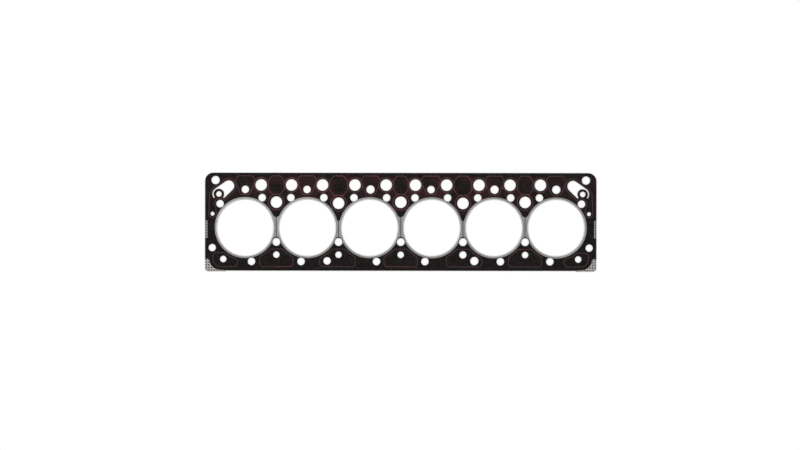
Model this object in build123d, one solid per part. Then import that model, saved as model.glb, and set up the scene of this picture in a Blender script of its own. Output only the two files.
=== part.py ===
from build123d import *

import math
import os

# Cylinder head gasket for an inline six: a perforated steel core between two soft facings, a folded
# metal ring round each cylinder, and raised sealing beads printed on the upper facing.
# Millimetres. X runs along the row of cylinders from its middle, Y across the gasket, and Z up
# through its thickness from the surface that it lies on.

# Cylinders and the folded rings round them
bore_count = 6
ring_bore_d = 99.5
flange_w = 4.4
flange_spacing = 1.7
bridge_gap = 0.5
ring_metal = 0.25
ring_fit = 0.3
band_w = 2.5
band_rise = 0.1
fold_bevel = 0.3
notch_land = 0.6

# Layers of the body
facing_t = 0.65
core_t = 0.45

# Outline
end_land = 16.85
top_land = 21.5
bottom_land = 16.3
top_corner_r = 14.5
bottom_corner_r = 5.0
lug_w = 37.0
lug_drop = 1.4

# Hole diameters
passage_d = 20.6
bolt_d = 13.5
end_bolt_d = 13.0
bridge_bolt_d = 14.0
small_coolant_d = 13.5
large_coolant_d = 14.8
bridge_coolant_d = 11.6
wide_bridge_coolant_d = 13.0
drain_d = 13.3
wide_drain_d = 14.7
corner_hole_d = 14.8
oil_hole_d = 10.0
dowel_hole_d = 7.2

# Places across the gasket, each from the row or the edge that it is set out from
upper_bolt_drop = 1.15
passage_rise = 22.5
coolant_drop = 7.9
tall_bridge_drop = 7.9
short_bridge_drop = 9.8
upper_end_bolt_drop = 10.8
dowel_drop = 28.5
oil_drop = 16.1
slot_end_drop = 1.8
corner_hole_drop = 13.0
bottom_bolt_fall = 5.55
drain_lift = 1.0
corner_coolant_lift = 4.1
lower_end_bolt_lift = 24.2
bridge_coolant_lift = 11.9
bridge_bolt_lift = 34.5

# Places along the gasket: distances in from the end, and out from the bridge of each number
# (0 is the middle bridge, and 1 and 2 are the next ones towards each end)
upper_end_bolt_inset = 26.4
corner_hole_inset = 18.4
oil_inset = 24.3
slot_end_inset = 41.6
dowel_inset = 13.1
lower_end_bolt_inset = 12.6
corner_coolant_inset = 32.1
passage_places = ((0, 25.9), (1, -28.9), (1, 28.4), (2, -26.8), (2, 27.0))
upper_bolt_places = ((0, 25.1), (1, -27.2), (1, 26.1), (2, -25.6), (2, 25.2))
bottom_bolt_places = ((0, 42.8), (2, -43.7), (2, 43.9))
drain_place = (1, 20.2)

# Oil slot: it wraps round the tab that carries the oil hole
tab_wall = 4.15
slot_arm_w = 2.5
slot_end_r = 9.8
tab_neck_angle = 100.0

# Webs that join neighbouring rings across a bridge
tall_web_r = 6.3
short_web_r = 2.8
web_rim = 1.9

# Places where the upper facing is cut back from the core
end_bare_depth = 3.9
end_bare_top = 12.5
end_bare_bottom = 18.3
bare_step = 7.7
bare_corner_r = 18.0
bare_rise = 1.2
bare_sill = 1.6
bare_sill_w = 40.0

# Perforations of the core, left open where the upper facing is cut back
perforation_w = 2.0
perforation_pitch = 4.7
perforation_land = 1.0

# Printed sealing beads
bead_w = 1.3
bead_h = 0.2
bead_flange_gap = 0.3
passage_bead_land = 2.7
bridge_bead_land = 3.7
coolant_bead_land = 2.3
slot_bead_land = 3.3
slot_bolt_land = 2.55
dowel_bead_land = 3.1
dowel_strip_w = 8.4
dowel_strip_shift = 1.05
ring_bead_land = 3.5
bead_edge_land = 5.5
pocket_corner_r = 4.0
pocket_narrow = 0.45
pocket_wide = 1.25
pocket_bevel = 0.25
pocket_shoulder = 0.6
loop_corner_r = 6.0
loop_half = 29.5
drain_loop_half = 33.4
loop_top_land = 4.1
loop_bottom_land = 7.0
corner_loop_w = 43.0
corner_loop_inset = 14.0
corner_loop_drop = 9.0
corner_loop_r = 13.5

# Sizes that follow
ring_r = ring_bore_d / 2
flange_r = ring_r + flange_w
bore_pitch = 2 * flange_r + flange_spacing
body_bore_r = ring_r + ring_metal + ring_fit
bore_x = [(i - (bore_count - 1) / 2) * bore_pitch for i in range(bore_count)]
bridge_x = [(a + b) / 2 for a, b in zip(bore_x, bore_x[1:])]

upper_bolt_y = flange_r - upper_bolt_drop
passage_y = upper_bolt_y + passage_rise
coolant_y = passage_y - coolant_drop
top_y = passage_y + top_land
bottom_bolt_y = -flange_r - bottom_bolt_fall
bottom_y = bottom_bolt_y - bottom_land
end_x = bore_x[-1] + flange_r + end_land

upper_end_bolt = (end_x - upper_end_bolt_inset, upper_bolt_y - upper_end_bolt_drop)
lower_end_bolt = (end_x - lower_end_bolt_inset, bottom_bolt_y + lower_end_bolt_lift)
corner_hole = (end_x - corner_hole_inset, top_y - corner_hole_drop)
oil_hole = (end_x - oil_inset, passage_y - oil_drop)
slot_end = (end_x - slot_end_inset, passage_y - slot_end_drop)
dowel_hole = (end_x - dowel_inset, upper_bolt_y - dowel_drop)
corner_coolant = (end_x - corner_coolant_inset, bottom_bolt_y + corner_coolant_lift)
bridge_coolant_y = bottom_bolt_y + bridge_coolant_lift
bridge_bolt_y = bottom_bolt_y + bridge_bolt_lift
bare_arc = (end_x - bare_step - bare_corner_r, bottom_y + bare_sill + bare_corner_r)

tab_r = oil_hole_d / 2 + tab_wall
slot_r = tab_r + slot_arm_w

lower_flange_z = band_rise
lower_facing_z = lower_flange_z + ring_metal
core_z = lower_facing_z + facing_t
upper_facing_z = core_z + core_t
body_top_z = upper_facing_z + facing_t
total_t = body_top_z + ring_metal + band_rise

# The bore centres lie this far below the middle of the outline, which is the part's origin
row_shift = -(top_y + bottom_y - lug_drop) / 2


def disc(place, radius):
    return Pos(*place) * Circle(radius)


def box(x0, y0, x1, y1):
    return Pos((x0 + x1) / 2, (y0 + y1) / 2) * Rectangle(x1 - x0, y1 - y0)


def mirrored(place):
    x, y = place
    return [(-x, y), (x, y)]


def from_bridge(place):
    number, offset = place
    middle = bridge_x[len(bridge_x) // 2]
    return middle + number * bore_pitch + offset


def is_tall(bridge):
    """The middle bridge and every second one from it have the taller web and the higher passage."""
    return (bridge - len(bridge_x) // 2) % 2 == 0


def bridge_passage(bridge):
    drop = tall_bridge_drop if is_tall(bridge) else short_bridge_drop
    return (bridge_x[bridge], upper_bolt_y - drop)


def row(places, y):
    """A hole on each side of the middle for every place, at one height."""
    return [spot for place in places for spot in mirrored((from_bridge(place), y))]


def upper_coolant(passages):
    """A hole over each bore, midway between its two passages, or at the bore where it has only one."""
    small, large = small_coolant_d, large_coolant_d
    spots = []
    for x in bore_x:
        beside = [spot[0] for spot in passages if abs(spot[0] - x) < bore_pitch / 2]
        spots.append((sum(beside) / 2 if len(beside) == 2 else x, coolant_y))
    return list(zip(spots, (small, small, large, small, large, large)))


def round_holes():
    """Every round hole through the body: its centre and diameter, by the kind of hole."""
    passages = row(passage_places, passage_y)
    drain_left, drain_right = mirrored((from_bridge(drain_place), bottom_bolt_y + drain_lift))
    wide_bridge = len(bridge_x) - 2
    bridge_coolant = [
        ((x, bridge_coolant_y), wide_bridge_coolant_d if i == wide_bridge else bridge_coolant_d)
        for i, x in enumerate(bridge_x)
    ]
    return {
        "passage": [(spot, passage_d) for spot in passages],
        "bridge_passage": [(bridge_passage(i), passage_d) for i in range(len(bridge_x))],
        "upper_bolt": [(spot, bolt_d) for spot in row(upper_bolt_places, upper_bolt_y)],
        "upper_end_bolt": [(spot, bolt_d) for spot in mirrored(upper_end_bolt)],
        "lower_end_bolt": [(spot, end_bolt_d) for spot in mirrored(lower_end_bolt)],
        "bottom_bolt": [(spot, bolt_d) for spot in row(bottom_bolt_places, bottom_bolt_y)],
        "bridge_bolt": [((x, bridge_bolt_y), bridge_bolt_d) for x in bridge_x],
        "coolant": upper_coolant(passages),
        "bridge_coolant": bridge_coolant,
        "corner_coolant": [(spot, bridge_coolant_d) for spot in mirrored(corner_coolant)],
        "drain": [(drain_left, drain_d), (drain_right, wide_drain_d)],
        "corner_hole": [(spot, corner_hole_d) for spot in mirrored(corner_hole)],
        "oil_hole": [(spot, oil_hole_d) for spot in mirrored(oil_hole)],
        "dowel_hole": [(spot, dowel_hole_d) for spot in mirrored(dowel_hole)],
    }


holes = round_holes()


def hull(*discs):
    return make_hull([edge for one in discs for edge in one.edges()])


def oil_slot():
    """The slot at the right end: a tapered slot less the tab of the oil hole and the tab's neck."""
    reach = 2 * slot_r
    half = math.radians(tab_neck_angle / 2)
    x, y = oil_hole
    corners = [(x, y), (x - reach * math.sin(half), y - reach * math.cos(half))]
    corners.append((x + reach * math.sin(half), y - reach * math.cos(half)))
    neck = make_face(Polyline(*corners, close=True))
    return hull(disc(oil_hole, slot_r), disc(slot_end, slot_end_r)) - disc(oil_hole, tab_r) - neck


def both_ends(face):
    """A shape at the right end together with its mirror image at the left end."""
    return face + mirror(face, about=Plane.YZ)


def body_outline():
    """The plate's outer edge, with large corners at the top and small ones at the bottom."""
    plate = box(-end_x, bottom_y, end_x, top_y)
    lower, upper = plate.vertices().group_by(Axis.Y)
    plate = fillet(upper, top_corner_r)
    lower = plate.vertices().group_by(Axis.Y)[0]
    return fillet(lower, bottom_corner_r)


def punched(outline):
    """An outline with every bore, hole and slot punched through it."""
    cuts = [disc((x, 0), body_bore_r) for x in bore_x]
    cuts += [disc(spot, d / 2) for kind in holes.values() for spot, d in kind]
    return outline - cuts - both_ends(oil_slot())


def core_lug():
    """The core's lower right corner, which reaches a little below the facings' edge."""
    lug = box(end_x - lug_w, bottom_y - lug_drop, end_x, bottom_y + bottom_corner_r)
    lower = lug.vertices().group_by(Axis.Y)[0].sort_by(Axis.X)
    lug = chamfer(lower[0], lug_drop)
    return fillet(lug.vertices().group_by(Axis.Y)[0].sort_by(Axis.X)[-1], bottom_corner_r)


def corner_bare():
    """Bare core at the lower right corner: a step in from the end, a round corner, then a low sill."""
    arc_x, arc_y = bare_arc
    outer = box(arc_x, bottom_y, end_x, arc_y + bare_rise)
    kept = box(arc_x, arc_y, end_x - bare_step, arc_y + bare_rise)
    sill = [(end_x - bare_sill_w, bottom_y), (arc_x, bottom_y), (arc_x, bottom_y + bare_sill)]
    return outer - kept - disc(bare_arc, bare_corner_r) + make_face(Polyline(*sill, close=True))


def end_bare():
    return box(end_x - end_bare_depth, -end_bare_bottom, end_x, end_bare_top)


def perforations():
    """Staggered square holes that lie in the two bare places at the right end of the core."""
    half = perforation_w / 2
    clear = half + perforation_land
    arc_x, arc_y = bare_arc
    lowest = bottom_y - lug_drop + clear
    squares = []
    columns = int((bare_step + bare_corner_r) / perforation_pitch) + 1
    rows = int((end_bare_top - lowest) / (perforation_pitch / 2)) + 1
    for r in range(rows):
        y = lowest + r * perforation_pitch / 2
        shift = perforation_pitch / 2 if r % 2 else 0
        for c in range(columns):
            x = end_x - clear - shift - c * perforation_pitch
            past_arc = math.hypot(x - arc_x, min(y - arc_y, 0)) > bare_corner_r - half
            at_corner = x > arc_x and y < arc_y + bare_rise - half
            in_strip = x > end_x - end_bare_depth and half - end_bare_bottom < y < end_bare_top - half
            if (at_corner and past_arc) or in_strip:
                squares.append(Pos(x, y) * Rectangle(perforation_w, perforation_w))
    return squares


def web_face(bore, bridge):
    """One ring's share of the web over a bridge, up to the gap on the bridge's centre line.

    Its upper edge is the round bottom of the V between the two flanges, an arc that is tangent to
    both flange circles. Its lower edge keeps a rim round the bolt hole below it."""
    half_pitch = bore_pitch / 2
    middle = bridge_x[bridge]
    tip_r = tall_web_r if is_tall(bridge) else short_web_r
    tip_y = math.sqrt((flange_r + tip_r) ** 2 - half_pitch**2)
    touch_y = tip_y * flange_r / (flange_r + tip_r)
    low, high = sorted((bore_x[bore], middle))
    web = box(low, bridge_bolt_y, high, touch_y)
    rim_r = bridge_bolt_d / 2 + web_rim
    return web - disc((middle, tip_y), tip_r) - disc((middle, bridge_bolt_y), rim_r)


def flange_face(bore):
    """Flange of one ring with its webs, notched round every hole that comes near it."""
    middle = bore_x[bore]
    face = disc((middle, 0), flange_r)
    for bridge in (bore - 1, bore):
        if 0 <= bridge < len(bridge_x):
            face = face + web_face(bore, bridge)
    half = (bore_pitch - bridge_gap) / 2
    face = face & box(middle - half, -flange_r, middle + half, flange_r)
    near = [
        disc(spot, d / 2 + notch_land)
        for kind in holes.values()
        for spot, d in kind
        if math.hypot(spot[0] - middle, spot[1]) < flange_r + d / 2 + notch_land
    ]
    return face - disc((middle, 0), ring_r) - near


def fold_section():
    """Section of a ring at the bore: the wall, and above and below it the raised band folded outwards."""
    inner, wall, outer = ring_r, ring_r + ring_metal, ring_r + band_w
    lower = [(inner, fold_bevel), (inner + fold_bevel, 0), (outer, 0)]
    lower += [(outer, lower_facing_z), (wall, lower_facing_z)]
    upper = [(wall, body_top_z), (outer, body_top_z), (outer, total_t)]
    upper += [(inner + fold_bevel, total_t), (inner, total_t - fold_bevel)]
    return Plane.XZ * make_face(Polyline(*lower, *upper, close=True))


def fire_ring(bore):
    """A ring folded from sheet metal: a flange below, a wall in the bore and a flange above.

    Beside the bore each flange carries a raised band, which takes the clamping load."""
    middle = (bore_x[bore], 0)
    flange = flange_face(bore) - disc(middle, ring_r + band_w)
    lower = extrude(Pos(0, 0, lower_flange_z) * flange, ring_metal)
    upper = extrude(Pos(0, 0, body_top_z) * flange, ring_metal)
    return Pos(*middle) * revolve(fold_section(), Axis.Z) + lower + upper


def line_round(core, radius):
    """A bead's line: a band round a core shape that is grown by the radius of the line's corners."""
    return offset(core, radius + bead_w / 2) - offset(core, radius - bead_w / 2)


def circle_line(place, radius):
    return disc(place, radius + bead_w / 2) - disc(place, radius - bead_w / 2)


def passage_gap(x, side):
    """From x to the bead of the next passage on one side, or on the other side at the row's end."""
    away = [side * (spot[0] - x) for spot, _ in holes["passage"]]
    nearest = min([d for d in away if d > 0] or [-d for d in away])
    return nearest - passage_d / 2 - passage_bead_land


def pocket_line(x, profile):
    """Line round a pocket between two passages, from the profile of its right side.

    Each point is a share of the way from x to the next passage's bead, and a height."""
    left, right = passage_gap(x, -1) - pocket_corner_r, passage_gap(x, 1) - pocket_corner_r
    points = [(x + right * share, y) for share, y in profile]
    points += [(x - left * share, y) for share, y in reversed(profile)]
    return line_round(make_face(Polyline(*points, close=True)), pocket_corner_r)


def bridge_pocket(bridge):
    """Line of the eight-sided pocket that fills the space between two passages over a bridge."""
    x, y = bridge_passage(bridge)
    top = top_y - bead_edge_land - pocket_corner_r
    bottom = y + passage_d / 2 + bridge_bead_land + pocket_corner_r
    bevel = (top - bottom) * pocket_bevel
    short = 1 - pocket_narrow
    return pocket_line(x, [(short, top), (1, top - bevel), (1, bottom + bevel), (short, bottom)])


def coolant_pocket(spot, diameter):
    """Line of the pocket round an upper coolant hole: wide above the passages, narrow below them."""
    x, y = spot
    top = top_y - bead_edge_land - pocket_corner_r
    bottom = y - diameter / 2 - coolant_bead_land + pocket_corner_r
    shoulder = passage_y + (top - passage_y) * pocket_shoulder
    return pocket_line(x, [(1, top), (pocket_wide, shoulder), (1, passage_y), (pocket_narrow, bottom)])


def slot_region(grow):
    """What the bead at the right end encloses: the oil slot, and a strip down to the dowel hole."""
    land = slot_bead_land + grow
    slot = hull(disc(oil_hole, slot_r + land), disc(slot_end, slot_end_r + land))
    strip_top = (dowel_hole[0] + dowel_strip_shift, oil_hole[1])
    dowel_r = dowel_hole_d / 2 + dowel_bead_land
    strip = hull(disc(dowel_hole, dowel_r + grow), disc(strip_top, dowel_strip_w / 2 + grow))
    bolt_r = bolt_d / 2 + slot_bolt_land
    return slot + strip - disc(upper_end_bolt, bolt_r - grow)


def upper_row_lines():
    """The joined lines along the top: pockets between the passages, then a circle round each."""
    lines = [bridge_pocket(i) for i in range(len(bridge_x))]
    lines += [coolant_pocket(spot, d) for spot, d in holes["coolant"]]
    net = Sketch() + lines
    passage_r = passage_d / 2 + passage_bead_land
    net = net - [disc(spot, passage_r) for spot, _ in holes["passage"]]
    net = net + [circle_line(spot, passage_r) for spot, _ in holes["passage"]]
    bridge_r = passage_d / 2 + bridge_bead_land
    net = net + [circle_line(spot, bridge_r) for spot, _ in holes["bridge_passage"]]
    return net - both_ends(slot_region(bead_w / 2))


def bridge_loop(bridge):
    """Line round a bridge's coolant hole, shouldered by the two rings beside it."""
    x = bridge_x[bridge]
    drains = [spot[0] - x for spot, _ in holes["drain"] if abs(spot[0] - x) < bore_pitch / 2]
    left = drain_loop_half if any(d < 0 for d in drains) else loop_half
    right = drain_loop_half if any(d > 0 for d in drains) else loop_half
    r = loop_corner_r
    top = bridge_coolant_y + bridge_coolant_d / 2 + loop_top_land
    core = box(x - left + r, bottom_y + loop_bottom_land + r, x + right - r, top - r)
    ring_line_r = flange_r + ring_bead_land + r
    core = core - [disc((bore_x[bore], 0), ring_line_r) for bore in (bridge, bridge + 1)]
    return line_round(core, r)


def corner_loop():
    """Line round the coolant hole at the lower right corner, inside the facing's round corner."""
    r = loop_corner_r
    right = end_x - corner_loop_inset
    top = lower_end_bolt[1] - corner_loop_drop
    core = box(right - corner_loop_w + r, bottom_y + loop_bottom_land + r, right - r, top - r)
    outer_corner = core.vertices().group_by(Axis.Y)[0].sort_by(Axis.X)[-1]
    core = fillet(outer_corner, corner_loop_r - r)
    return line_round(core - disc((bore_x[-1], 0), flange_r + ring_bead_land + r), r)


def layer(face, z, thickness):
    return Pos(0, row_shift, z) * extrude(face, thickness)


def body_parts():
    """The core and the two facings, each cut from the same outline, to which the core adds its lugs."""
    facing = punched(body_outline())
    bare = both_ends(corner_bare() + end_bare())
    core = punched(body_outline() + both_ends(core_lug())) - [both_ends(square) for square in perforations()]
    return {
        "core_plate": layer(core, core_z, core_t),
        "lower_facing": layer(facing, lower_facing_z, facing_t),
        "upper_facing": layer(facing - bare, upper_facing_z, facing_t),
    }


def bead_parts():
    """The printed lines, kept to the facing and clear of the rings' flanges."""
    flanges = [disc((x, 0), flange_r + bead_flange_gap) for x in bore_x]
    printable = punched(body_outline()) - both_ends(corner_bare() + end_bare()) - flanges
    lines = {"upper_row_bead": upper_row_lines()}
    for i in range(len(bridge_x)):
        lines[f"bridge_bead_{i + 1}"] = bridge_loop(i)
    slot_line = slot_region(bead_w / 2) - slot_region(-bead_w / 2)
    for kind, line in (("corner", corner_loop()), ("slot", slot_line)):
        lines[f"right_{kind}_bead"] = line
        lines[f"left_{kind}_bead"] = mirror(line, about=Plane.YZ)
    return {name: layer(line & printable, body_top_z, bead_h) for name, line in lines.items()}


parts = body_parts()
parts.update(bead_parts())
for bore in range(bore_count):
    parts[f"fire_ring_{bore + 1}"] = Pos(0, row_shift) * fire_ring(bore)

os.makedirs("parts", exist_ok=True)
for name, shape in parts.items():
    export_step(shape, f"parts/{name}.step")
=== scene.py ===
"""Looks of a flat cylinder head gasket, seen from straight above on a white table.

Sizes are in millimetres, as on a drawing of the gasket, until a mesh is made. X runs along the row of
cylinders from its middle, Y across the gasket from the line of the bore centres, and Z up from the table.
"""

import math

import bmesh
import bpy
import numpy as np
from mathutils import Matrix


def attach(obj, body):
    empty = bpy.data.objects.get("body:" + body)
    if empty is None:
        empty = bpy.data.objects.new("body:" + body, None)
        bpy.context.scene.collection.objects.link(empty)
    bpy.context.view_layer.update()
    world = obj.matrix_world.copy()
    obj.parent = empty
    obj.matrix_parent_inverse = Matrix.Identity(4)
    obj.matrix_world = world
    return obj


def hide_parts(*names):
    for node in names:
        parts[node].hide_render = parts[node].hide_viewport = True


MM = 0.001

# The line of the bore centres, from the middle of the outline, which is the frame's own zero
ROW_Y = -9.8

# Folded rings, one round each bore
BAY = 110.0
BORES = (np.arange(6) - 2.5) * BAY
BRIDGES = (np.arange(5) - 2) * BAY
RING_R = 49.75
RING_STEPS = 1080
FLANGE_R = 54.15
METAL = 0.25
BAND_W = 2.5
BAND_RISE = 0.1
STEP_R = RING_R + BAND_W
TOTAL_T = 2.45
LOWER_FACING_Z = 0.35
FOLD_R = 0.45

# Points of a ring's section: the bevel of the flange's edge and where its top is flat, both inwards from
# the edge; the band's outer side, outwards from the step and down from the top; its inner side, outwards
# from the bore and down from the top; and the fold, as angles in degrees
EDGE_BEVEL = 0.05
FLANGE_FLAT = (EDGE_BEVEL, 0.5)
BAND_OUTSIDE = ((0.2, BAND_RISE), (0.04, 0.075), (-0.1, 0.02), (-0.32, 0.0))
BAND_INSIDE = ((1.0, 0.0), (0.6, 0.008))
FOLD_TURNS = (108, 130, 152, 176)

# Webs on the bridges: half the joint between two webs, the radius at the bottom of each V, the rim round
# the bridge's bolt hole, and the room that notches leave round other holes
HALF_JOINT = 0.25
WEB_TIPS = (6.3, 2.8, 6.3, 2.8, 6.3)
WEB_RIM = 1.9
NOTCH = 0.6

# Holes that come near the rings: how far out each pair is, and the height and radius of each row
BRIDGE_BOLTS = ((0.0, 110.0, 220.0), -25.2, 7.0)
RING_HOLES = (
    ((25.1, 82.8, 136.1, 194.4, 245.2), 53.0, 6.75),
    ((319.6,), 42.2, 6.75),
    ((42.8, 176.3, 263.9), -59.7, 6.75),
    BRIDGE_BOLTS,
)

# Punched core where it is bare: at the lower corners, where it reaches below the facings and the facings
# end in an arc, and in a strip at each end. The rows and columns of holes reach past both
END_X = 346.0
BOTTOM_Y = -76.0
LUG_DROP = 1.4
CORE_Z = 1.0
CORE_TOP_Z = 1.45
PUNCH_W = 2.0
PUNCH_HALF = PUNCH_W / 2
PUNCH_PITCH = 4.7
PUNCH_LAND = 1.0
PUNCH_CLEAR = PUNCH_HALF + PUNCH_LAND
PUNCH_ROWS = 50
PUNCH_COLUMNS = 7
ARC_R = 18.0
ARC_X = END_X - 7.7 - ARC_R
ARC_Y = BOTTOM_Y + 1.6 + ARC_R
ARC_RISE = 1.2
STRIP_DEPTH = 3.9
STRIP_Y = (-18.3, 12.5)

# Teeth at the punched holes: half their width, how thick they are, how deep in the sheet they start, and
# how far past the sheet and how near to the hole's middle their tips are, turned up and turned down
TOOTH_HALF_W = 0.44 * PUNCH_W
TOOTH_T = 0.14
TOOTH_DEPTH = 0.03
TIP_UP, TIP_DOWN = 0.4, 0.3
TIP_UP_SHARE, TIP_DOWN_SHARE = 0.05, 0.3

# Rounding of the edges, how near two points are one, and the angle from which an edge is sharp
BEAD_ROUND = 0.15
FACING_ROUND = 0.06
CORE_ROUND = 0.03
SAME_POINT = 0.002
SHARP_DEGREES = 50

# Print: the middle of the pockets that the beads close over the bridges, and the place along the gasket
# from which the red fades towards both ends
POCKET_Y = 69.0
FRESH_X = -25.0

# Where the finishes change, each from one measure to another.
# Across the gasket, from the bore line: the red bloom, the fading of the lower beads, and the end strips
BLOOM_START, BLOOM_END = (34, 60), (85, 93)
LOWER_BEADS = (40, -50)
STRIP_START = (-30, -20)
# Along the gasket, from FRESH_X: the fading of the bloom and of the beads
BLOOM_FADE, BEAD_FADE = (100, 300), (225, 320)
# Along the gasket, from its middle: the dark edge of an end strip
STRIP_EDGE = (END_X - 2.3, END_X - 1.7)
# From the middle of a pocket, and from a joint between two rings
POCKET_EDGE, BY_JOINT = (6, 15), (0.5, 4)
# Outwards from the middle of a bore: the painted highlight over the fold, the painted shade in the step, and
# the flange's edge
FOLD_HIGHLIGHT = (STEP_R - 0.7, STEP_R - 1.2)
STEP_SHADE_START, STEP_SHADE_END = (STEP_R - 0.9, STEP_R - 0.5), (STEP_R + 0.1, STEP_R + 0.5)
FLANGE_RIM = (FLANGE_R - 1.2, FLANGE_R - 0.2)
# Upwards, and in metres: from the lower facing to the upper one, and from down in a hole to the core's top
THROUGH_CORE = (CORE_Z * MM, CORE_TOP_Z * MM)
OUT_OF_HOLE = ((CORE_TOP_Z - 0.3) * MM, (CORE_TOP_Z - 0.05) * MM)

# Colours of the finishes, as linear red, green and blue
FIBRE_DARK, FIBRE_LIGHT = (0.0016, 0.0011, 0.0011), (0.0176, 0.0134, 0.0136)
FIBRE_GRAIN = (0.0275, 0.0218, 0.0218)
FIBRE_BLOOM = (0.034, 0.0125, 0.0145)
FIBRE_MARK = (0.0012, 0.0012, 0.0012)
RED_DARK, RED_LIGHT = (0.05, 0.0135, 0.016), (0.088, 0.029, 0.0325)
RED_DUSTY = (0.036, 0.018, 0.019)
RED_FAINT, RED_FAINT_LIGHT = (0.022, 0.0135, 0.0138), (0.04, 0.0215, 0.0228)
RED_THICK = (0.14, 0.025, 0.031)
RING_DARK, RING_LIGHT = (0.178, 0.176, 0.177), (0.255, 0.251, 0.251)
# Painted highlight of the band over the fold
RING_BAND_HIGHLIGHT = (0.4, 0.394, 0.394)
# Painted shade in the step beside the band
RING_STEP_SHADE = (0.051, 0.049, 0.048)
RING_EDGE = (0.06, 0.058, 0.057)
RING_DASH = (0.094, 0.092, 0.09)
RING_STAIN = (0.128, 0.125, 0.123)
CORE_DARK, CORE_LIGHT = (0.345, 0.338, 0.335), (0.485, 0.477, 0.472)
# Painted shade round the holes whose teeth are turned down
CORE_HOLE_SHADE = (0.05, 0.048, 0.046)
CORE_STAIN = (0.155, 0.151, 0.147)
CORE_STRIP, CORE_STRIP_EDGE = (0.208, 0.203, 0.2), (0.071, 0.069, 0.067)
# Painted shade down in the punched holes
CORE_DEPTH_SHADE = (0.02, 0.019, 0.018)
WHITE, TABLE_WHITE, ROOM_GREY = (1, 1, 1), (0.8, 0.8, 0.8), (0.62, 0.62, 0.62)

# Stage, in metres: the table; each lamp's name, place, width and power; how far the camera is above the
# facings; and the photograph's width, the place of its middle and how far it is turned
TABLE_REACH = 6.0
TABLE_DROP = 2e-5
TABLE_GLOW = 0.14
LAMPS = (("key", (-0.9, 0.7, 2.2), 1.6, 26.0), ("fill", (1.1, -0.5, 2.0), 1.8, 14.0))
CAMERA_RISE = 4.0
BODY_TOP_Z = 2.1
PHOTO_W = 1.4148
PHOTO_X, PHOTO_Y = -0.0013, -0.0049
PHOTO_TURN_DEGREES = 0.083
SENSOR_W = 36


def put_in_scene(name, data):
    """A new object in the scene, from its mesh, lamp or lens."""
    made = bpy.data.objects.new(name, data)
    bpy.context.scene.collection.objects.link(made)
    return made


def closed_surface(name, grid, across):
    """A mesh from a grid of points that closes on itself both ways.

    Each quad joins grid points (i, j), (i + 1, j), (i + 1, j + 1) and (i, j + 1). The map "sheet" holds the
    distance along the path and the given measure across it, so that a grain can follow the surface."""
    n, m = grid.shape[:2]
    i, j = np.meshgrid(np.arange(n), np.arange(m), indexing="ij")
    next_i, next_j = (i + 1) % n, (j + 1) % m
    quads = np.stack([i * m + j, next_i * m + j, next_i * m + next_j, i * m + next_j], -1).reshape(-1, 4)
    stride = np.linalg.norm(np.diff(grid[:, 0, :2], axis=0), axis=1).mean()
    along = np.stack([i, i + 1, i + 1, i], -1) * stride
    over = across[np.stack([j, j, next_j, next_j], -1)]
    mesh = bpy.data.meshes.new(name)
    mesh.from_pydata((grid.reshape(-1, 3) + [0, ROW_Y, 0]) * MM, [], quads.tolist())
    sheet_map = np.stack([along, over], -1).astype(np.float32)
    mesh.uv_layers.new(name="sheet").data.foreach_set("uv", sheet_map.ravel())
    mesh.polygons.foreach_set("use_smooth", np.ones(len(quads), bool))
    mesh.update()
    return put_in_scene(name, mesh)


def ray_entry(ray, centre, radius):
    """How far a ray from the bore's centre runs before it enters a disc, or infinity if it misses."""
    reach = ray @ np.asarray(centre)
    inside = reach**2 - (np.dot(centre, centre) - radius**2)
    hit = (inside > 0) & (reach > 0)
    return np.where(hit, reach - np.sqrt(np.maximum(inside, 0)), np.inf)


def web_edge(ray, side, tip_r):
    """Outer edge of the web along each ray, or the flange's edge where there is no web.

    The web runs out to the joint on the bridge's middle, up to the round bottom of the V between the two
    flanges, and down to a rim round the bridge's bolt hole: the nearest of a line and two discs."""
    ray = ray * [side, 1]
    tip = np.array([BAY / 2, 0])
    tip[1] = math.sqrt((FLANGE_R + tip_r) ** 2 - tip[0] ** 2)
    bolt = np.array([tip[0], BRIDGE_BOLTS[1]])
    outward = np.maximum(ray[:, 0], 1e-6)
    slope = ray[:, 1] / outward
    here = (ray[:, 0] > 0) & (slope < tip[1] / tip[0]) & (slope > bolt[1] / bolt[0])
    edge = (BAY / 2 - HALF_JOINT) / outward
    edge = np.minimum(edge, ray_entry(ray, tip, tip_r))
    edge = np.minimum(edge, ray_entry(ray, bolt, BRIDGE_BOLTS[2] + WEB_RIM))
    return np.where(here, np.maximum(edge, FLANGE_R), FLANGE_R)


def flange_edge(number, ray):
    """Outer edge of a ring's flange along each ray: the webs, less the notches round the holes beside it."""
    edge = np.full(len(ray), FLANGE_R)
    if number > 0:
        edge = np.maximum(edge, web_edge(ray, -1, WEB_TIPS[number - 1]))
    if number < len(BRIDGES):
        edge = np.maximum(edge, web_edge(ray, 1, WEB_TIPS[number]))
    for row, y, r in RING_HOLES:
        for x in row + tuple(-x for x in row):
            edge = np.minimum(edge, ray_entry(ray, (x - BORES[number], y), r + NOTCH))
    return edge


def ring_section():
    """Section of a folded ring, as rows of radius, share of the flange's reach, and height.

    It goes in along the top of the flange, over the raised band, round the fold and down the bore. The
    underside is the same, upside down, and the section returns along the faces that grip the facings."""
    upper = [(-flat, 1, TOTAL_T - BAND_RISE) for flat in FLANGE_FLAT]
    upper += [(STEP_R + out, 0, TOTAL_T - down) for out, down in BAND_OUTSIDE]
    upper += [(RING_R + out, 0, TOTAL_T - down) for out, down in BAND_INSIDE]
    for turn in np.radians(FOLD_TURNS):
        upper.append((RING_R + FOLD_R * (1 + math.cos(turn)), 0, TOTAL_T - FOLD_R * (1 - math.sin(turn))))
    grip = [(0, 1, BAND_RISE + EDGE_BEVEL), (0, 1, LOWER_FACING_Z), (RING_R + METAL, 0, LOWER_FACING_Z)]

    def upside_down(points):
        return [(r, share, TOTAL_T - z) for r, share, z in reversed(points)]

    return np.array(upper + upside_down(upper) + grip + upside_down(grip))


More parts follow.
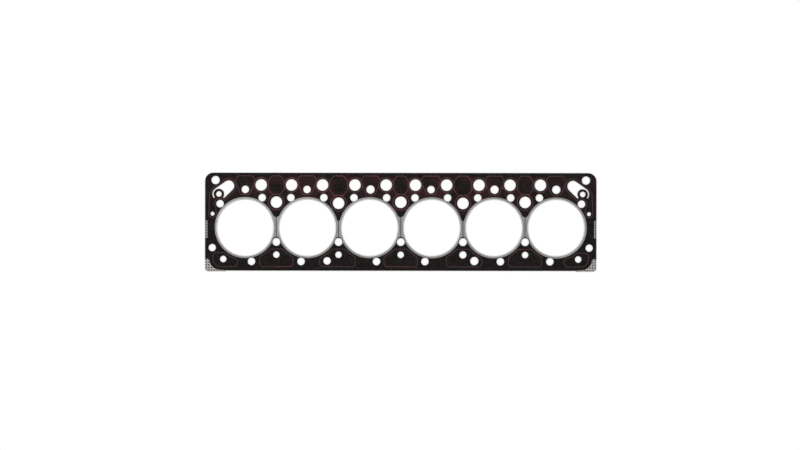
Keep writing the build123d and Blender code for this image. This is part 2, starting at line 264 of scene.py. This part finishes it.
def folded_ring(number):
    """A ring: its section carried round the bore, with the flange's reach a function of the angle."""
    turn = np.linspace(0, 2 * math.pi, RING_STEPS, endpoint=False)
    ray = np.stack([np.cos(turn), np.sin(turn)], 1)
    radius, share, height = ring_section().T
    reach = radius + share * flange_edge(number, ray)[:, None]
    height = np.tile(height, (RING_STEPS, 1))
    grid = np.stack([BORES[number] + reach * ray[:, :1], reach * ray[:, 1:], height], -1)
    return closed_surface(f"folded_ring_{number + 1}", grid, radius + share * FLANGE_R)


def softened(node, width, name):
    """A copy of a punched or printed sheet, with its loose triangles joined and its edges rounded over."""
    mesh = node.data.copy()
    mesh.materials.clear()
    work = bmesh.new()
    work.from_mesh(mesh)
    bmesh.ops.remove_doubles(work, verts=work.verts, dist=SAME_POINT * MM)
    work.to_mesh(mesh)
    work.free()
    piece = put_in_scene(name, mesh)
    edge = piece.modifiers.new("rounded edge", "BEVEL")
    edge.width = width * MM
    edge.segments = 2
    edge.limit_method = "ANGLE"
    edge.angle_limit = math.radians(SHARP_DEGREES)
    return piece


def punched_places():
    """Square holes in the bare places at the right end, on a staggered lattice: the middle of each, and
    whether its teeth are turned up (1, in every second row) or down (0)."""
    row, column = np.mgrid[0:PUNCH_ROWS, 0:PUNCH_COLUMNS]
    x = END_X - PUNCH_CLEAR - (row % 2) * PUNCH_PITCH / 2 - column * PUNCH_PITCH
    y = BOTTOM_Y - LUG_DROP + PUNCH_CLEAR + row * PUNCH_PITCH / 2
    past_arc = np.hypot(x - ARC_X, np.minimum(y - ARC_Y, 0)) > ARC_R - PUNCH_HALF
    corner = (x > ARC_X) & (y < ARC_Y + ARC_RISE - PUNCH_HALF) & past_arc
    strip = (x > END_X - STRIP_DEPTH) & (y > STRIP_Y[0] + PUNCH_HALF) & (y < STRIP_Y[1] - PUNCH_HALF)
    return np.stack([x, y, row % 2], -1)[corner | strip]


def bent_teeth(side):
    """The teeth that the punch leaves at each square hole: two triangles bent up, or down into the lower
    facing.

    Each is a wedge of six points in two layers: a root on the hole's edge, and a tip above or below it."""
    root = CORE_TOP_Z - TOOTH_DEPTH
    x, y, up = punched_places().T
    tooth = np.array([(PUNCH_HALF, -TOOTH_HALF_W, 0), (PUNCH_HALF, TOOTH_HALF_W, 0), (0, 0, 1)])
    spots = np.tile(np.stack([tooth, tooth * [-1, -1, 1]]), (len(x), 1, 1, 1))
    spots[:, :, 2, 0] = np.outer(np.where(up, TIP_UP_SHARE, TIP_DOWN_SHARE) * PUNCH_W, [1, -1])
    spots[..., 2] *= (np.where(up, CORE_TOP_Z + TIP_UP, CORE_Z - TIP_DOWN) - root)[:, None, None]
    spots += np.stack([x, y, np.full(len(x), root)], -1)[:, None, None]
    spots = np.stack([spots, spots - [0, 0, TOOTH_T]], 2).reshape(-1, 3) * [side, 1, 1] + [0, ROW_Y, 0]
    faces = np.array([(0, 1, 2), (5, 4, 3), (0, 3, 4), (0, 4, 1), (1, 4, 5), (1, 5, 2), (2, 5, 3), (2, 3, 0)])
    faces = (np.arange(len(spots) // 6)[:, None, None] * 6 + faces).reshape(-1, 3)
    mesh = bpy.data.meshes.new("teeth")
    mesh.from_pydata(spots * MM, [], (faces if side > 0 else faces[:, ::-1]).tolist())
    mesh.update()
    return put_in_scene(f"core_teeth_{'right' if side > 0 else 'left'}", mesh)


# Materials


class Nodes:
    """A node tree under construction: short ways to add nodes and to join them."""

    def __init__(self, tree):
        self.tree = tree
        tree.nodes.clear()

    def feed(self, value, socket):
        """Set a socket to a number, a vector or a colour, or join another node's output to it."""
        if isinstance(value, bpy.types.NodeSocket):
            self.tree.links.new(value, socket)
        elif socket.type == "RGBA":
            socket.default_value = (*value, 1)
        else:
            socket.default_value = value

    def fill(self, node, **values):
        """Feed a node's sockets by their names."""
        for name, value in values.items():
            self.feed(value, node.inputs[name.replace("_", " ")])

    def node(self, kind, *values, **settings):
        """A new node with its settings, and with values for its first sockets in their order."""
        made = self.tree.nodes.new(kind)
        for name, setting in settings.items():
            setattr(made, name, setting)
        for value, socket in zip(values, made.inputs):
            self.feed(value, socket)
        return made

    def calc(self, operation, *values, clamp=False):
        """Arithmetic on numbers, by the name that Blender gives the operation."""
        return self.node("ShaderNodeMath", *values, operation=operation, use_clamp=clamp).outputs[0]

    def product(self, first, *others):
        """Numbers multiplied in the order in which they are given."""
        for other in others:
            first = self.calc("MULTIPLY", first, other)
        return first


class Look(Nodes):
    """The finish of a piece under construction: a material with one shader."""

    def __init__(self, name):
        self.material = bpy.data.materials.new(name)
        self.material.use_nodes = True
        super().__init__(self.material.node_tree)
        self.shader = self.node("ShaderNodeBsdfPrincipled")
        self.node("ShaderNodeOutputMaterial", self.shader.outputs[0])

    def place(self, scale=(1, 1, 1), shift=(0, 0, 0), spot=None):
        """Object coordinates in metres, or another vector, scaled and then shifted."""
        if spot is None:
            spot = self.node("ShaderNodeTexCoord").outputs["Object"]
        mapping = self.node("ShaderNodeMapping")
        self.fill(mapping, Vector=spot, Location=shift, Scale=scale)
        return mapping.outputs[0]

    def sheet(self):
        """The map "sheet" of a folded ring, in millimetres."""
        return self.node("ShaderNodeUVMap", uv_map="sheet").outputs["UV"]

    def axes(self, vector):
        return self.node("ShaderNodeSeparateXYZ", vector).outputs

    def height(self):
        """Metres up from the table."""
        return self.axes(self.place())["Z"]

    def vector(self, *axes):
        return self.node("ShaderNodeCombineXYZ", *axes).outputs[0]

    def vector_calc(self, operation, *values):
        """Arithmetic on vectors, which gives a vector, or a number for a length."""
        made = self.node("ShaderNodeVectorMath", *values, operation=operation)
        return made.outputs["Value" if operation == "LENGTH" else "Vector"]

    def noise(self, vector, scale, detail, rough=0.55):
        made = self.node("ShaderNodeTexNoise")
        self.fill(made, Vector=vector, Scale=scale, Detail=detail, Roughness=rough)
        return made.outputs["Fac"]

    def spread(self, value, low, high, to_low=0.0, to_high=1.0):
        """A smooth change from one number to another while the value runs from low to high."""
        limits = (value, low, high, to_low, to_high)
        return self.node("ShaderNodeMapRange", *limits, interpolation_type="SMOOTHSTEP").outputs[0]

    def mix(self, share, first, second):
        """A colour between two, each given as numbers or as a socket. The node's sockets 6 and 7 and its
        output 2 are those for colours."""
        made = self.node("ShaderNodeMix", share, data_type="RGBA")
        self.feed(first, made.inputs[6])
        self.feed(second, made.inputs[7])
        return made.outputs[2]

    def bump(self, height, depth):
        made = self.node("ShaderNodeBump")
        self.fill(made, Distance=depth * MM, Height=height)
        self.set(Normal=made.outputs[0])

    def set(self, **values):
        self.fill(self.shader, **values)


def per(pitch):
    """The scale that turns metres into steps of so many millimetres."""
    return (1 / (pitch * MM),) * 3


def across(look, low, high):
    """From 0 at one line along the gasket to 1 at another, both in millimetres from the bore line."""
    return look.spread(look.axes(look.place())["Y"], (low + ROW_Y) * MM, (high + ROW_Y) * MM)


def off_middle(look, near, far, most=1.0, middle=0.0):
    """From 0 at one distance along the gasket from its middle, or from another place, to the given number
    at a second distance."""
    apart = look.calc("ABSOLUTE", look.axes(look.place(shift=(-middle * MM, 0, 0)))["X"])
    return look.spread(apart, near * MM, far * MM, 0.0, most)


def from_bridge(look):
    """Distance in millimetres, along the gasket, from the middle of the nearest bridge."""
    bays = look.axes(look.place(per(BAY), (0.5, 0, 0)))["X"]
    apart = look.calc("ABSOLUTE", look.calc("SUBTRACT", look.calc("FRACT", bays), 0.5))
    return look.product(apart, BAY)


def from_pocket(look):
    """Distance in millimetres from the middle of the nearest pocket that the beads close over a bridge."""
    upward = look.axes(look.place(shift=(0, -(POCKET_Y + ROW_Y) * MM, 0)))["Y"]
    return look.vector_calc("LENGTH", look.vector(from_bridge(look), look.product(upward, 1 / MM)))


def from_hole(look, turned_up):
    """Distance in millimetres from the middle of the nearest square hole whose teeth are turned up, or down.

    Each kind is a lattice of its own, one pitch apart both ways, and the two are half a pitch apart."""
    first = np.array([END_X - PUNCH_CLEAR, BOTTOM_Y - LUG_DROP + PUNCH_CLEAR + ROW_Y])
    start = (0.0 if turned_up else 0.5) - first / PUNCH_PITCH
    spot = look.axes(look.place())
    mirrored = look.vector(look.calc("ABSOLUTE", spot["X"]), spot["Y"])
    cell = look.vector_calc("FRACTION", look.place(per(PUNCH_PITCH), (*start, 0), mirrored))
    middle = (-PUNCH_PITCH / 2, -PUNCH_PITCH / 2, 0)
    apart = look.vector_calc("MULTIPLY_ADD", cell, (PUNCH_PITCH, PUNCH_PITCH, 0), middle)
    return look.vector_calc("LENGTH", apart)


def round_bore(look, along, over):
    """Millimetres round the bore times one number, and out from it and up times another, so that a noise
    on them has streaks along the sheet."""
    spot = look.axes(look.sheet())
    upward = look.product(look.height(), over / MM)
    return look.vector(look.product(spot["X"], along), look.product(spot["Y"], over), upward)


def facing_look():
    """Black fibre facing: fine fibres, soft patches, faint marks of the core's teeth, and a red bloom
    from the silicone along the row of passages, which leaves the pockets over the bridges black."""
    look = Look("black fibre facing")
    grain = look.noise(look.place(), 2400.0, 4.0, 0.7)
    felt = look.noise(look.place(), 300.0, 6.0, 0.72)
    patch = look.noise(look.place(shift=(0.3, 0.1, 0)), 26.0, 2.0)
    pressed = look.spread(look.noise(look.place(shift=(0.7, 0.2, 0)), 14.0, 2.0), 0.4, 0.62)
    marks = look.product(look.spread(from_hole(look, True), 0.5, 1.3, 1.0, 0.0), pressed)
    bloom = look.product(
        across(look, *BLOOM_START),
        look.calc("SUBTRACT", 1.0, across(look, *BLOOM_END)),
        look.spread(patch, 0.32, 0.6),
        look.calc("SUBTRACT", 0.68, off_middle(look, *BLOOM_FADE, 0.42, FRESH_X)),
        look.spread(from_pocket(look), *POCKET_EDGE, 0.1, 1.0),
        look.spread(look.height(), *THROUGH_CORE),
    )
    tone = look.mix(look.spread(felt, 0.34, 0.68), FIBRE_DARK, FIBRE_LIGHT)
    tone = look.mix(look.spread(grain, 0.45, 0.8, 0.0, 0.7), tone, FIBRE_GRAIN)
    tone = look.mix(bloom, tone, FIBRE_BLOOM)
    tone = look.mix(look.product(marks, 0.6), tone, FIBRE_MARK)
    look.set(Base_Color=tone, Roughness=0.85, Specular_IOR_Level=0.06)
    relief = look.calc("ADD", look.product(grain, 0.4), look.product(felt, 0.5))
    look.bump(look.calc("SUBTRACT", relief, look.product(marks, 1.2)), 0.05)
    return look.material


def bead_look():
    """Dark red silicone, thicker and brighter in short lengths, worn and dusty in others, and fainter at
    the ends and along the lower edge."""
    look = Look("printed red silicone")
    worn = look.noise(look.place(), 420.0, 3.0)
    patch = look.noise(look.place(), 34.0, 2.0)
    lengths = look.spread(look.noise(look.place(shift=(0.2, 0.6, 0)), 30.0, 2.0), 0.53, 0.66)
    ends = off_middle(look, *BEAD_FADE, 0.85, FRESH_X)
    lower = across(look, *LOWER_BEADS)
    faint = look.calc("MAXIMUM", ends, look.product(lower, 0.7))
    thick = look.product(
        lengths,
        look.calc("SUBTRACT", 0.75, look.product(lower, 0.3)),
        look.calc("SUBTRACT", 1.0, ends),
    )
    red = look.mix(look.spread(worn, 0.35, 0.7), RED_DARK, RED_LIGHT)
    red = look.mix(look.spread(patch, 0.42, 0.62, 0.0, 0.6), red, RED_DUSTY)
    red = look.mix(faint, red, look.mix(worn, RED_FAINT, RED_FAINT_LIGHT))
    red = look.mix(thick, red, RED_THICK)
    look.set(Base_Color=red, Roughness=0.55, Specular_IOR_Level=0.2)
    look.bump(worn, 0.01)
    return look.material


def rolled_steel(look, lines, steel):
    """Finish a steel: satin, with shallow rolling lines that are rougher here and there."""
    look.set(Base_Color=steel, Metallic=1.0, Roughness=look.spread(lines, 0.2, 0.8, 0.36, 0.52))
    look.bump(lines, 0.01)
    return look.material


def ring_look():
    """Folded steel sheet: fine lines round the bore, a painted highlight over the fold, painted shade in the
    step beside the band, darker along the flange's edge, and darker beside the joints from oil and painted
    shade."""
    look = Look("folded ring steel")
    lines = look.noise(round_bore(look, 0.02, 9.0), 2.2, 4.0, 0.6)
    dashes = look.noise(round_bore(look, 0.25, 3.0), 1.3, 3.0, 0.65)
    patch = look.noise(look.place(), 60.0, 3.0)
    reach = look.axes(look.sheet())["Y"]
    # painted shade in the groove of the step beside the band
    step_shade = look.product(look.spread(reach, *STEP_SHADE_START), look.spread(reach, *STEP_SHADE_END, 1.0, 0.0), 0.75)
    steel = look.mix(look.spread(lines, 0.3, 0.7), RING_DARK, RING_LIGHT)
    # painted highlight on the band near the bore, over the fold
    steel = look.mix(look.spread(reach, *FOLD_HIGHLIGHT, 0.0, 0.8), steel, RING_BAND_HIGHLIGHT)
    steel = look.mix(step_shade, steel, RING_STEP_SHADE)
    steel = look.mix(look.spread(reach, *FLANGE_RIM, 0.0, 0.6), steel, RING_EDGE)
    # darker beside the joints between rings: oil in the joint, and painted shade of the gap
    steel = look.mix(look.spread(from_bridge(look), *BY_JOINT, 0.3, 0.0), steel, RING_EDGE)
    steel = look.mix(look.spread(dashes, 0.52, 0.72, 0.0, 0.35), steel, RING_DASH)
    steel = look.mix(look.product(look.spread(patch, 0.5, 0.8), 0.3), steel, RING_STAIN)
    return rolled_steel(look, lines, steel)


def core_look():
    """Bare cold-rolled steel with lines along the sheet: painted shade down in the holes and round those
    whose teeth are turned down, and darker in the two end strips and most of all along their edge."""
    look = Look("bare core steel")
    lines = look.noise(look.place((6, 260, 40)), 8.0, 5.0, 0.65)
    patch = look.noise(look.place(), 90.0, 4.0)
    uneven = look.spread(look.noise(look.place(), 700.0, 2.0), 0.3, 0.7, -0.4, 0.4)
    # painted shade round the holes whose teeth are turned down, broken up by noise
    hole_shade = look.spread(look.calc("ADD", from_hole(look, False), uneven), 1.4, 2.5, 1.0, 0.0)
    strip = look.mix(off_middle(look, *STRIP_EDGE), CORE_STRIP, CORE_STRIP_EDGE)
    shallow = look.spread(look.height(), *OUT_OF_HOLE)
    steel = look.mix(look.spread(lines, 0.3, 0.7), CORE_DARK, CORE_LIGHT)
    steel = look.mix(look.product(hole_shade, 0.9), steel, CORE_HOLE_SHADE)
    steel = look.mix(look.product(look.spread(patch, 0.5, 0.75), 0.3), steel, CORE_STAIN)
    steel = look.mix(look.product(across(look, *STRIP_START), 0.9), steel, strip)
    # painted shade down in the holes and on the teeth turned down into them
    steel = look.mix(shallow, CORE_DEPTH_SHADE, steel)
    return rolled_steel(look, lines, steel)


# Stage


def seen_straight(nodes):
    """1 for what the camera sees, itself or in a glossy or clear surface, and 0 for what only lights the
    surfaces round it."""
    rays = nodes.node("ShaderNodeLightPath").outputs
    seen = nodes.calc("ADD", rays["Is Camera Ray"], rays["Is Glossy Ray"], clamp=True)
    return nodes.calc("ADD", seen, rays["Is Transmission Ray"], clamp=True)


def table_look():
    """A white surface that still takes the gasket's shadow: part of its light is its own."""
    material = bpy.data.materials.new("white table")
    material.use_nodes = True
    nodes = Nodes(material.node_tree)
    cloth = nodes.node("ShaderNodeBsdfDiffuse", TABLE_WHITE)
    glow = nodes.node("ShaderNodeEmission", WHITE, nodes.product(seen_straight(nodes), TABLE_GLOW))
    both = nodes.node("ShaderNodeAddShader", cloth.outputs[0], glow.outputs[0])
    nodes.node("ShaderNodeOutputMaterial", both.outputs[0])
    return material


def lay_table():
    """A wide white square, just under the gasket."""
    mesh = bpy.data.meshes.new("table")
    corners = np.array([(-1, -1), (1, -1), (1, 1), (-1, 1)]) * TABLE_REACH
    mesh.from_pydata([(x, y, -TABLE_DROP) for x, y in corners], [], [(0, 1, 2, 3)])
    mesh.materials.append(table_look())
    table = put_in_scene("table", mesh)


def light_room():
    """A room that looks white and lights the gasket with a plain grey, and two round lamps turned to it."""
    world = bpy.data.worlds.new("studio")
    bpy.context.scene.world = world
    world.use_nodes = True
    nodes = Nodes(world.node_tree)
    plain = nodes.node("ShaderNodeBackground", ROOM_GREY).outputs[0]
    white = nodes.node("ShaderNodeBackground", WHITE).outputs[0]
    both = nodes.node("ShaderNodeMixShader", seen_straight(nodes), plain, white)
    nodes.node("ShaderNodeOutputWorld", both.outputs[0])
    for name, spot, size, power in LAMPS:
        lamp = bpy.data.lights.new(name, "AREA")
        lamp.shape = "DISK"
        lamp.size = size
        lamp.energy = power
        holder = put_in_scene(name, lamp)
        holder.location = spot
        tilt = math.acos(spot[2] / np.linalg.norm(spot))
        holder.rotation_euler = (tilt, 0, math.atan2(spot[1], spot[0]) + math.pi / 2)


def place_camera():
    """Straight above, with the photograph's frame."""
    lens = bpy.data.cameras.new("camera")
    lens.sensor_width = SENSOR_W
    lens.lens = SENSOR_W * CAMERA_RISE / PHOTO_W
    lens.clip_end = 50
    camera = put_in_scene("camera", lens)
    camera.location = (PHOTO_X, PHOTO_Y, CAMERA_RISE + BODY_TOP_Z * MM)
    camera.rotation_euler = (0, 0, math.radians(PHOTO_TURN_DEGREES))
    bpy.context.scene.camera = camera


def dress(piece, material, slot, *nodes):
    """Give a piece its finish, and tell the frame which nodes it replaces, if any."""
    piece.data.materials.clear()
    piece.data.materials.append(material)
    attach(piece, "root")
    if nodes:
        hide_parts(*nodes)


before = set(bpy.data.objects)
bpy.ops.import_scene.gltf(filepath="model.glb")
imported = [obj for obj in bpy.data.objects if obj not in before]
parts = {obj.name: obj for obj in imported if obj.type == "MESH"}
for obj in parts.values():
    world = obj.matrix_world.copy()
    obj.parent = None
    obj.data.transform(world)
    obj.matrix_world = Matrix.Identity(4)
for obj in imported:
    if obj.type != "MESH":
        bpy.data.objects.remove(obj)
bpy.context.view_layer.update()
bpy.context.scene.view_settings.view_transform = "Standard"
place_camera()
lay_table()
light_room()

ring_steel, core_steel = ring_look(), core_look()
black_facing, red_print = facing_look(), bead_look()
for ring_number in range(len(BORES)):
    dress(folded_ring(ring_number), ring_steel, "ring_metal", f"fire_ring_{ring_number + 1}")
for bead in sorted(name for name in parts if "bead" in name):
    dress(softened(parts[bead], BEAD_ROUND, f"{bead}_print"), red_print, "bead_silicone", bead)
for layer in ("upper_facing", "lower_facing"):
    dress(softened(parts[layer], FACING_ROUND, f"{layer}_sheet"), black_facing, "facing", layer)
dress(softened(parts["core_plate"], CORE_ROUND, "core_sheet"), core_steel, "core_steel", "core_plate")
for side in (-1, 1):
    dress(bent_teeth(side), core_steel, "core_steel")
